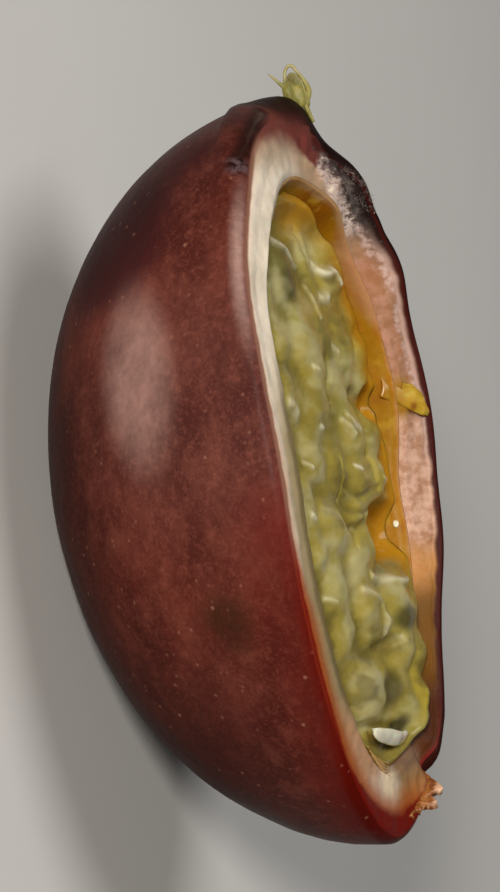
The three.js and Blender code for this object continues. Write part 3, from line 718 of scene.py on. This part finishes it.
def pulpLevel(x, y):
    turn = np.arctan2(y, x)
    out = np.clip(np.hypot(x, y) / hollowRadius(turn), 0, 1)
    toFar = np.clip(y / hollow["far"], 0, 1)
    toStem = np.clip(x / hollow["stem"], 0, 1)
    toFlower = np.clip((-x - 12) / (hollow["flower"] - 12), 0, 1)
    top = fruit["depth"] - fruit["restSink"] - fruit["rimSink"] - fruit["endSink"] * (x / fruit["flower"]) ** 2
    sink = pulp["sinkMiddle"] + pulp["sinkFar"] * toFar * (1 - toStem) + pulp["sinkStem"] * toStem
    bulge = pulp["bulgeRise"] * np.exp(-(np.hypot(x - pulp["bulgeX"], y - pulp["bulgeY"]) / pulp["bulgeSpread"]) ** 2)
    return top - sink - pulp["sinkFlower"] * toFlower + bulge + 0.5 * np.cos(out * np.pi / 2)


def allSacs():  # the large ones, and smaller ones wherever these leave room
    draw = random.Random(4711)
    sacs = list(largeSacs)
    row = 0
    x = -hollow["flower"]
    while x < hollow["stem"]:
        row += 1
        y = -hollow["near"]
        while y < hollow["far"]:
            place = (x + draw.uniform(-1, 1), y + (row % 2) * pulp["spacing"] / 2 + draw.uniform(-1, 1))
            sac = (*place, draw.uniform(2.8, 3.8), draw.uniform(2.6, 3.4), draw.uniform(0, 180),
                   draw.uniform(-0.7, 0.1), draw.uniform(-0.3, 0.3), draw.uniform(-0.3, 0.3))
            y += pulp["spacing"]
            turn = np.arctan2(place[1], place[0])
            room = hollowRadius(turn) - np.hypot(*place)
            free = all(np.hypot((place[0] - big[0]) / big[2], (place[1] - big[1]) / big[3]) > 1.2 for big in largeSacs)
            low = any(np.hypot((place[0] - low[0]) / low[2], (place[1] - low[1]) / low[3]) < 1 for low in hollows)
            if free and room > 1.5 and not low and place[0] > -21:
                sacs.append(sac)
        x += pulp["spacing"] * 0.85
    return sacs


def ellipse(x, y, centreX, centreY, long, wide, turn):  # 1 on the ellipse, less inside it
    swing = np.radians(turn)
    alongX = ((x - centreX) * np.cos(swing) + (y - centreY) * np.sin(swing)) / long
    alongY = ((y - centreY) * np.cos(swing) - (x - centreX) * np.sin(swing)) / wide
    return np.hypot(alongX, alongY)


def smooth(value, low, high):
    share = np.clip((value - low) / (high - low), 0, 1)
    return share * share * (3 - 2 * share)


def cloudAt(x, y, size, shift):
    return np.array([noise.noise(Vector((a / size, b / size, shift))) for a, b in zip(x, y)])


def fromLine(x, y, points):
    best = np.full(x.shape, 99.0)
    for (ax, ay), (bx, by) in zip(points, points[1:]):
        dx, dy = bx - ax, by - ay
        share = np.clip(((x - ax) * dx + (y - ay) * dy) / (dx * dx + dy * dy), 0, 1)
        best = np.minimum(best, np.hypot(x - ax - dx * share, y - ay - dy * share))
    return best


def pulpTop(x, y, sacs):  # height, and the colour shares that go with it
    level = pulpLevel(x, y)
    strayX = x + pulp["wander"] * cloudAt(x, 0.5 * y, 4.0, 3.1)
    strayY = y + pulp["wander"] * cloudAt(x, 0.5 * y, 4.0, 8.7)
    low = sum(depth * (1 - smooth(ellipse(x, y, a, b, c, d, 0), 0.45, 1.15)) for a, b, c, d, depth in hollows)
    tops = [level - pulp["juice"] - low + 0.35 * cloudAt(x, 0.45 * y, 3.0, 5.5)]
    for centreX, centreY, long, wide, turn, lift, tint, yellow in sacs:
        away = ellipse(strayX, strayY, centreX, centreY, long, wide, turn)
        cap = np.maximum(-0.95 * away ** 2.4, -6)
        tops.append(level + lift * 0.65 - low * 0.55 + cap * min(1.75, 0.42 * long))
    tops = np.array(tops)
    highest = tops.max(axis=0)
    height = highest + pulp["melt"] * np.log(np.exp((tops - highest) / pulp["melt"]).sum(axis=0))
    weight = np.exp((tops - highest) / 0.45)
    weight /= weight.sum(axis=0)
    tint = weight.T @ np.array([-0.3] + [sac[6] for sac in sacs])
    yellow = weight.T @ np.array([0.3] + [sac[7] for sac in sacs])
    # painted highlights along the creases
    glint = np.zeros(x.shape)
    broken = 0.4 + 0.6 * smooth(cloudAt(x, 0.45 * y, 0.8, 6.3), -0.3, 0.2)
    for points, rise, width, glintShare in creases:
        line = np.exp(-(fromLine(strayX, strayY, points) / width) ** 2)
        height = height + 0.8 * rise * line
        glint = np.maximum(glint, glintShare * line * broken)
    height = height + 0.3 * cloudAt(x, 0.4 * y, 2.0, 1.7) + 0.09 * cloudAt(x, 0.4 * y, 0.9, 4.4)
    # the juice climbs where it meets the lining, most at the flower end
    turn = np.arctan2(y, x)
    toWall = roomReach(turn, level, pulp["inset"]) - np.hypot(x, y)
    toFlower = smooth(-x, 17, 26)
    climb = 0.35 + 1.5 * toFlower + 0.7 * smooth(x, 22, 27)
    height = height + climb * np.exp(-np.maximum(toWall, 0) / (0.7 + 1.8 * toFlower))
    seedShade = np.zeros(x.shape)
    for centreX, centreY, long, wide, turned, dark in shownSeeds:
        away = ellipse(x, y, centreX, centreY, long, wide, turned)
        seedShade = np.maximum(seedShade, dark * (1 - smooth(away, 0.55, 1.35)))
    # painted shade where the top sinks between the sacs
    valleyShade = smooth(level - height, 0.2, 1.0)
    # painted shade: the pulp darkens along the near wall, from the middle on to the stem end
    tint = tint - 0.9 * (1 - smooth(toWall, 0.3, 2.2)) * smooth(-y, 4, 9) * smooth(x, -14, -6)
    golden = smooth(low, 0.5, 1.6) + smooth(y, 8, 15) * (1 - smooth(toWall, 0.8, 4.5)) * (1 - smooth(x, 10, 14))
    golden = golden + 0.85 * smooth(-x, 20.5, 25) * smooth(y, -9, 2)
    return height, dict(tint=tint, yellow=yellow, glint=glint, valleyShade=valleyShade, golden=np.clip(golden, 0, 1), seen=seedShade)


def pulpPaint():
    paint = Paint("pulpGel", Roughness=0.3, IOR=1.37, Subsurface_Weight=0.7, Subsurface_Scale=0.002,
                  Coat_Weight=0.3, Coat_Roughness=0.07, Coat_IOR=1.4, Specular_IOR_Level=0.1)
    paint.surface.inputs["Subsurface Radius"].default_value = (1.0, 0.9, 0.45)
    cloudy = paint.cloud(1.8, 3, 0.5, stretch=(1, 0.4, 1))
    threads = paint.cloud(1.0, 3, 0.6, stretch=(1.2, 0.35, 1))
    wide = paint.cloud(5, 2, stretch=(1, 0.5, 1))
    pale = paint.cloud(4.2, 3, 0.55, stretch=(1, 0.45, 1))
    tint = paint.attribute("tint")
    colour = paint.mix((tint + (cloudy - 0.5) * 1.3).rise(0.0, 0.8), pulp["olive"], pulp["pale"])
    colour = paint.mix((tint + (wide - 0.5) * 0.8).fall(-0.8, -0.05), colour, pulp["dark"])
    colour = paint.mix(wide.fall(0.35, 0.5) * 0.4, colour, pulp["green"])
    colour = paint.mix((paint.attribute("yellow") + (wide - 0.5)).rise(0.15, 0.85) * 0.75, colour, pulp["yellow"])
    colour = paint.mix(pale.rise(0.48, 0.66) * 0.6, colour, pulp["whitish"])
    colour = paint.mix(pale.fall(0.34, 0.47) * 0.6, colour, pulp["dark"])
    # painted shade in the gaps between the sacs
    colour = paint.mix(paint.attribute("valleyShade") * 0.65, colour, pulp["shadeBrown"])
    colour = paint.mix(paint.attribute("golden"), colour, pulp["golden"])
    colour = paint.mix(threads.rise(0.56, 0.74) * 0.18, colour, pulp["pale"])
    colour = paint.mix(paint.attribute("seen"), colour, pulp["seed"])
    # painted highlights along the creases
    colour = paint.mix(paint.attribute("glint"), colour, pulp["glint"])
    relief = cloudy * 0.8 + threads * 0.2
    paint.give(Base_Color=colour, Roughness=0.25 + 0.2 * cloudy, Normal=paint.bump(relief, 0.16))
    return paint


def makePulp():
    sacs = allSacs()

    def sideRow(share):
        def row(turn):
            edge = roomReach(turn, pulpLevel(20 * np.cos(turn), 20 * np.sin(turn)), pulp["inset"])
            top = pulpTop(edge * np.cos(turn), edge * np.sin(turn), sacs)[0]
            floor = hollow["floor"] + pulp["inset"]
            height = floor + (top - floor) * share
            return np.where(share > 0, roomReach(turn, height, pulp["inset"]), 0), height
        return row

    def topRow(share):
        def row(turn):
            edge = roomReach(turn, pulpLevel(20 * np.cos(turn), 20 * np.sin(turn)), pulp["inset"])
            reach = edge * share
            return reach, pulpTop(reach * np.cos(turn), reach * np.sin(turn), sacs)[0]
        return row

    sides = [0, 0.02, 0.08, 0.18, 0.32, 0.48, 0.64, 0.78, 0.88, 0.95]
    bm = spunForm([sideRow(share) for share in sides] + [topRow(share) for share in np.linspace(1, 0, 116)], 540)
    names = ("tint", "yellow", "glint", "valleyShade", "golden", "seen")
    layers = {name: bm.verts.layers.float.new(name) for name in names}
    verts = list(bm.verts)
    place = np.array([v.co for v in verts])
    shares = pulpTop(place[:, 0], place[:, 1], sacs)[1]
    for name in names:
        for v, value in zip(verts, shares[name]):
            v[layers[name]] = value
    finishPiece(bm, "pulpGel", [pulpPaint()], "pulp", "pulp")


def makeJuiceBead():
    bm = bmesh.new()
    shape = Matrix.Translation((6.9, 18.3, 26.6)) @ Matrix.Diagonal((0.34, 0.2, 0.28, 1))
    bmesh.ops.create_icosphere(bm, subdivisions=3, radius=1, matrix=shape)
    for v in bm.verts:
        v.co += 0.05 * noise.noise_vector(v.co * 2)
    paint = Paint("juiceBead", Roughness=0.05, Subsurface_Weight=0.5, Subsurface_Scale=0.0006, Coat_Weight=1.0)
    # the bead's near-white colour is a painted highlight
    paint.give(Base_Color=paint.mix(paint.cloud(0.6).rise(0.3, 0.7), pulp["glint"], tone(244, 238, 220)))
    finishPiece(bm, "juiceBead", [paint], "pulp", "pulp")


# ---- a milky membrane folded up at the stem end
membrane = dict(x=25.9, y=0.6, long=5.2, wide=1.5, lean=0.12, thickness=0.4, white=tone(228, 220, 194), clear=tone(170, 150, 104))


def makeMembrane():
    bm = bmesh.new()
    bmesh.ops.create_grid(bm, x_segments=12, y_segments=36, size=1)
    for v in bm.verts:
        share = (v.co.x + 1) / 2
        side = np.sqrt(max(0.0, 1 - v.co.y ** 2))
        x = membrane["x"] + membrane["lean"] * membrane["long"] * v.co.y + membrane["wide"] * share * side
        x += 0.15 * noise.noise(Vector((v.co.y * 1.7, share, 3.3))) + 0.15 * (1 - share) * np.sin(2.2 * v.co.y)
        y = membrane["y"] + membrane["long"] * v.co.y
        swell = 0.6 * np.cos(np.pi / 2 * (1.25 * share - 0.25)) * side
        v.co = (x, y, pulpLevel(x, y) + 0.3 + swell + 0.1 * noise.noise(Vector((x, y, 0)) * 0.7))
    bmesh.ops.remove_doubles(bm, verts=bm.verts, dist=0.01)
    bmesh.ops.recalc_face_normals(bm, faces=bm.faces)
    bmesh.ops.solidify(bm, geom=bm.faces[:], thickness=membrane["thickness"])
    bmesh.ops.recalc_face_normals(bm, faces=bm.faces)
    paint = Paint("milkyMembrane", Roughness=0.3, Subsurface_Weight=0.6, Subsurface_Scale=0.001, Coat_Weight=0.8,
                  Coat_Roughness=0.06)
    veil = paint.cloud(1.6, 3)
    y = paint.along("Y")
    colour = paint.mix(veil.fall(0.3, 0.5) * 0.3 + y.rise(4.5, 6.5) * 0.5, membrane["white"], membrane["clear"])
    paint.give(Base_Color=colour, Normal=paint.bump(veil, 0.15))
    finishPiece(bm, "milkyMembrane", [paint], "pulp", "pulp")


# ---- thin round strands, such as fibres and hairs: each path is a list of (x, y, z, radius)
def strandForm(paths, sides=2):
    curve = bpy.data.curves.new("strands", "CURVE")
    curve.dimensions = "3D"
    curve.bevel_depth = 1.0
    curve.bevel_resolution = sides
    curve.resolution_u = 5
    curve.use_fill_caps = True
    for path in paths:
        spline = curve.splines.new("BEZIER")
        spline.bezier_points.add(len(path) - 1)
        for point, (x, y, z, radius) in zip(spline.bezier_points, path):
            point.co = (x, y, z)
            point.radius = radius
            point.handle_left_type = "AUTO"
            point.handle_right_type = "AUTO"
    holder = bpy.data.objects.new("strands", curve)
    bpy.context.scene.collection.objects.link(holder)
    mesh = bpy.data.meshes.new_from_object(holder.evaluated_get(bpy.context.evaluated_depsgraph_get()))
    bpy.data.objects.remove(holder)
    bm = bmesh.new()
    bm.from_mesh(mesh)
    bpy.data.meshes.remove(mesh)
    bmesh.ops.remove_doubles(bm, verts=bm.verts, dist=0.001)
    bmesh.ops.recalc_face_normals(bm, faces=bm.faces)
    return bm


# ---- the dried flower that still hangs at the tip
flower = dict(x=-32.6, y=7.4, z=28.3, straw=tone(130, 120, 54), green=tone(100, 94, 24), pale=tone(154, 145, 100),
              shade=tone(80, 72, 18))


def makeFlower():
    base = Vector((flower["x"], flower["y"], flower["z"]))

    def path(*places):
        return [(base.x + x, base.y + y, base.z + z, radius) for x, y, z, radius in places]

    paths = [
        path((-0.4, 0, 0.0, 0.16), (-1.0, 0.0, -0.2, 0.2), (-2.0, -0.1, -0.48, 0.28), (-2.9, -0.1, -0.8, 0.4)),
        path((-2.2, 0.3, -0.5, 0.2), (-3.5, 0.4, -0.1, 0.32), (-4.5, 0.3, -0.35, 0.22), (-5.5, 0.2, -0.9, 0.16),
             (-6.2, 0.1, -1.45, 0.17), (-5.9, 0.0, -1.9, 0.15), (-5.0, -0.1, -2.1, 0.2), (-4.1, -0.3, -2.1, 0.28)),
        path((-3.9, -0.3, -2.0, 0.26), (-4.7, -0.3, -2.7, 0.17), (-5.3, -0.3, -3.2, 0.13), (-5.75, -0.3, -3.65, 0.05)),
        path((-2.7, 0.1, -0.6, 0.2), (-3.8, 0.1, -0.9, 0.3), (-4.9, 0.0, -1.3, 0.1)),
    ]
    bm = strandForm(paths)
    # three shrunken petals wrapped round each other
    petals = [
        dict(middle=(-3.35, -0.35, -1.35), size=(1.55, 0.5, 0.95), lean=-0.5),
        dict(middle=(-3.2, 0.15, -0.75), size=(1.5, 0.45, 0.6), lean=-0.25),
        dict(middle=(-4.3, 0.15, -1.2), size=(1.3, 0.25, 0.7), lean=-0.35),
    ]
    for petal in petals:
        place = Matrix.Translation(base + Vector(petal["middle"])) @ Matrix.Rotation(petal["lean"], 4, "Y")
        made = bmesh.ops.create_uvsphere(bm, u_segments=20, v_segments=14, radius=1,
                                         matrix=place @ Matrix.Diagonal((*petal["size"], 1)))
        for v in made["verts"]:
            v.co += 0.16 * noise.noise_vector(v.co * 1.3)
    paint = Paint("driedFlower", Roughness=0.6, Subsurface_Weight=0.2, Subsurface_Scale=0.0006)
    veins = paint.cloud(0.8, 3, 0.6, stretch=(0.35, 1, 1))
    x = paint.along("X")
    colour = paint.mix(veins.rise(0.4, 0.62), flower["green"], flower["straw"])
    colour = paint.mix(x.fall(-38, -36.6) * 0.6, colour, flower["pale"])
    colour = paint.mix(paint.spot(-37.3, 7.3, 27.0, 0.4, 1.1) * 0.7, colour, flower["shade"])
    paint.give(Base_Color=colour, Normal=paint.bump(veins, 0.25))
    finishPiece(bm, "driedFlower", [paint], "dried_flower", "flower_remnant")


# ---- torn flesh at the stem end
torn = dict(
    start=0.06, end=0.3, thickness=0.8, sunk=1.1, inside=0.7, low=0.1, lean=0.45,
    peaks=[(0.235, 0.032, 1.7), (0.2, 0.04, 0.5), (0.175, 0.028, 1.2), (0.12, 0.03, 0.5)],  # turn, half width, height
    flesh=tone(104, 52, 16), tan=tone(144, 90, 38), red=tone(92, 10, 2), white=tone(196, 158, 124),
)


def makeTornFlesh():  # a ragged crest along the rim
    bm = bmesh.new()
    bmesh.ops.create_grid(bm, x_segments=120, y_segments=14, size=0.5)
    for v in bm.verts:
        along = v.co.x + 0.5
        turn = torn["start"] + (torn["end"] - torn["start"]) * along
        fringe = noise.noise(Vector((turn * 70, 0, 4.2))) * 0.25 + noise.noise(Vector((turn * 200, 0, 1.1))) * 0.08
        peaks = sum(rise * max(0, 1 - abs(turn - place) / half) for place, half, rise in torn["peaks"])
        tall = (torn["low"] + peaks + fringe) * np.sin(np.pi * along) ** 0.5
        lift = (v.co.y + 0.5) * (tall + torn["sunk"]) - torn["sunk"]
        reach = fruitRadius(turn) - edgeRadius(turn) - torn["inside"] + torn["lean"] * max(0.0, lift) + 0.35 * along
        height = rimHeight(turn) + curlHeight(turn) + lift
        v.co = (reach * np.cos(turn), reach * np.sin(turn), height)
        v.co += 0.22 * noise.noise_vector(v.co * 0.9) + 0.07 * noise.noise_vector(v.co * 3)
    bmesh.ops.recalc_face_normals(bm, faces=bm.faces)
    bmesh.ops.solidify(bm, geom=bm.faces[:], thickness=torn["thickness"])
    bmesh.ops.recalc_face_normals(bm, faces=bm.faces)
    paint = Paint("tornFlesh", Roughness=0.45, Subsurface_Weight=0.35, Subsurface_Scale=0.0012)
    x = paint.along("X")
    z = paint.along("Z")
    clots = paint.cloud(1.4, 4, 0.6)
    colour = paint.mix(clots.rise(0.35, 0.62), torn["flesh"], torn["tan"])
    colour = paint.mix((x + (clots - 0.5) * 2).rise(34.4, 35.6), colour, torn["red"])
    colour = paint.mix((z + (clots - 0.5)).rise(29.0, 29.8) * 0.9, colour, torn["white"])
    paint.give(Base_Color=colour, Normal=paint.bump(clots, 0.3))
    finishPiece(bm, "tornFlesh", [paint], "rind", "rind")


# ---- fibres across the stem end of the pulp, and mould on the curled rim
fibre = dict(starts=[(26.0, -8.2), (26.5, -7.8), (27.0, -7.4), (27.5, -7.0)], ends=[(28.9, -0.6), (29.3, -0.8), (29.7, -1.0), (30.1, -1.2)],
             gold=tone(166, 122, 58), pale=tone(192, 158, 104))


def makeFibres():
    sacs = allSacs()
    paths = []
    for start, end in zip(fibre["starts"], fibre["ends"]):
        steps = []
        for share in np.linspace(0, 1, 9):
            x = start[0] + (end[0] - start[0]) * share + 0.3 * np.sin(np.pi * share)
            y = start[1] + (end[1] - start[1]) * share
            turn = np.arctan2(y, x)
            inside = hollowRadius(turn) - np.hypot(x, y)
            onPulp = pulpTop(np.array([x]), np.array([y]), sacs)[0][0]
            onPith = rimHeight(turn) + pithSlope(turn)
            level = onPulp + (onPith - onPulp) * (1 - smooth(inside, -0.5, 0.8))
            steps.append((x, y, float(level) - 0.07, 0.15 * np.sin(np.pi * (0.1 + 0.8 * share))))
        paths.append(steps)
    paint = Paint("pulpFibre", Roughness=0.35, Subsurface_Weight=0.3, Subsurface_Scale=0.0005)
    colour = paint.mix(paint.cloud(2).rise(0.35, 0.65), fibre["gold"], fibre["pale"])
    paint.give(Base_Color=colour)
    finishPiece(strandForm(paths), "pulpFibres", [paint], "pulp", "pulp")


mould = dict(tufts=120, hairs=6, length=0.6, radius=0.011, crumbs=90)


def makeMould():
    draw = random.Random(77)
    paths = []
    crumbs = bmesh.new()
    for i in range(mould["tufts"] + mould["crumbs"]):
        turn = draw.gauss(2.74, 0.1)
        lift = draw.uniform(0, 1.5)
        reach = fruitRadius(turn) - edgeRadius(turn) - rim["curlWidth"] * lift
        height = rimHeight(turn) + curlHeight(turn) * (1 - smooth(lift, 0, 1))
        foot = Vector((reach * np.cos(turn), reach * np.sin(turn), float(height)))
        if i < mould["tufts"]:
            for _ in range(mould["hairs"]):
                aim = Vector((draw.uniform(-1, 1), draw.uniform(-0.6, 1), draw.uniform(0.2, 1.1))).normalized()
                side = Vector((draw.uniform(-1, 1), draw.uniform(-1, 1), draw.uniform(-0.5, 0.5))) * 0.25
                length = mould["length"] * draw.uniform(0.4, 1.2)
                middle = foot + aim * length * 0.5 + side
                tip = foot + aim * length
                paths.append([(*foot, mould["radius"]), (*middle, mould["radius"] * 0.8), (*tip, mould["radius"] * 0.4)])
        else:
            size = draw.uniform(0.03, 0.08)
            shape = Matrix.Translation(foot) @ Matrix.Diagonal((size, size * 0.9, size * 0.6, 1))
            bmesh.ops.create_icosphere(crumbs, subdivisions=1, radius=1, matrix=shape)
    hairPaint = Paint("mouldHair", Roughness=0.8)
    hairPaint.give(Base_Color=hairPaint.mix(hairPaint.cloud(2).rise(0.4, 0.6), tone(120, 106, 98), tone(70, 60, 56)))
    finishPiece(strandForm(paths, sides=0), "mouldHairs", [hairPaint], "rind")
    crumbPaint = Paint("mouldCrumb", Roughness=0.8)
    crumbPaint.give(Base_Color=crumbPaint.mix(crumbPaint.cloud(1.2).rise(0.45, 0.55), tone(176, 154, 142), tone(40, 28, 26)))
    finishPiece(crumbs, "mouldCrumbs", [crumbPaint], "rind")


makeRind()
makeLining(liningPaint())
makeFlap()
makePulp()
makeJuiceBead()
makeMembrane()
makeFlower()
makeTornFlesh()
makeFibres()
makeMould()

# ---- floor, lights and camera
stage = dict(floorSize=1.6, floorTone=tone(196, 192, 186), worldTone=tone(150, 152, 156), worldStrength=0.12)


def makeFloor():
    bm = bmesh.new()
    bmesh.ops.create_grid(bm, x_segments=24, y_segments=24, size=stage["floorSize"] * 500)
    for v in bm.verts:  # the back sweeps up gently
        v.co.z = max(0.0, v.co.y - 350) ** 2 * 0.0012
    mesh = bpy.data.meshes.new("floor")
    bmesh.ops.scale(bm, vec=(0.001, 0.001, 0.001), verts=bm.verts)
    bm.to_mesh(mesh)
    bm.free()
    mesh.shade_smooth()
    paint = Paint("paleFloor", Roughness=0.7)
    paint.give(Base_Color=paint.mix(paint.cloud(60, 2), stage["floorTone"], tone(204, 200, 194)))
    mesh.materials.append(paint.material)
    floor = bpy.data.objects.new("floor", mesh)
    bpy.context.scene.collection.objects.link(floor)


lamps = [
    dict(name="keyLamp", place=(-0.16, -0.78, 0.26), size=0.12, power=8.5, colour=(1.0, 0.97, 0.93)),
    dict(name="topLamp", place=(-0.25, -0.1, 0.75), size=0.4, power=3.2, colour=(0.98, 0.99, 1.0)),
]


def makeLamps():
    aim = Vector((0, 0, 0.018))
    for lamp in lamps:
        light = bpy.data.lights.new(lamp["name"], "AREA")
        light.shape = "DISK"
        light.size = lamp["size"]
        light.energy = lamp["power"]
        light.color = lamp["colour"]
        holder = bpy.data.objects.new(lamp["name"], light)
        holder.location = lamp["place"]
        holder.rotation_euler = (Vector(lamp["place"]) - aim).to_track_quat("Z", "Y").to_euler()
        bpy.context.scene.collection.objects.link(holder)
    world = bpy.data.worlds.new("studio")
    world.use_nodes = True
    world.node_tree.nodes["Background"].inputs["Color"].default_value = stage["worldTone"]
    world.node_tree.nodes["Background"].inputs["Strength"].default_value = stage["worldStrength"]
    bpy.context.scene.world = world
    bpy.context.scene.view_settings.view_transform = "Standard"


view = dict(elevation=18.0, roll=80.5, distance=450.0, aim=(-3.09, 0.0, 18.89), pixelsPerMm=10.43, frameHeight=892)


def makeCamera():
    height = np.radians(view["elevation"])
    roll = np.radians(view["roll"])
    back = Vector((0, -np.cos(height), np.sin(height)))
    right = Vector((1, 0, 0))
    up = back.cross(right)
    pictureRight = right * np.cos(roll) + up * np.sin(roll)
    pictureUp = up * np.cos(roll) - right * np.sin(roll)
    data = bpy.data.cameras.new("camera")
    data.sensor_width = 36.0
    data.lens = data.sensor_width * view["pixelsPerMm"] * view["distance"] / view["frameHeight"]
    data.clip_start = 0.01
    camera = bpy.data.objects.new("camera", data)
    place = (Vector(view["aim"]) + back * view["distance"]) / 1000
    camera.matrix_world = Matrix.Translation(place) @ Matrix((pictureRight, pictureUp, back)).transposed().to_4x4()
    bpy.context.scene.collection.objects.link(camera)
    bpy.context.scene.camera = camera


makeFloor()
makeLamps()
makeCamera()
print("stage set")
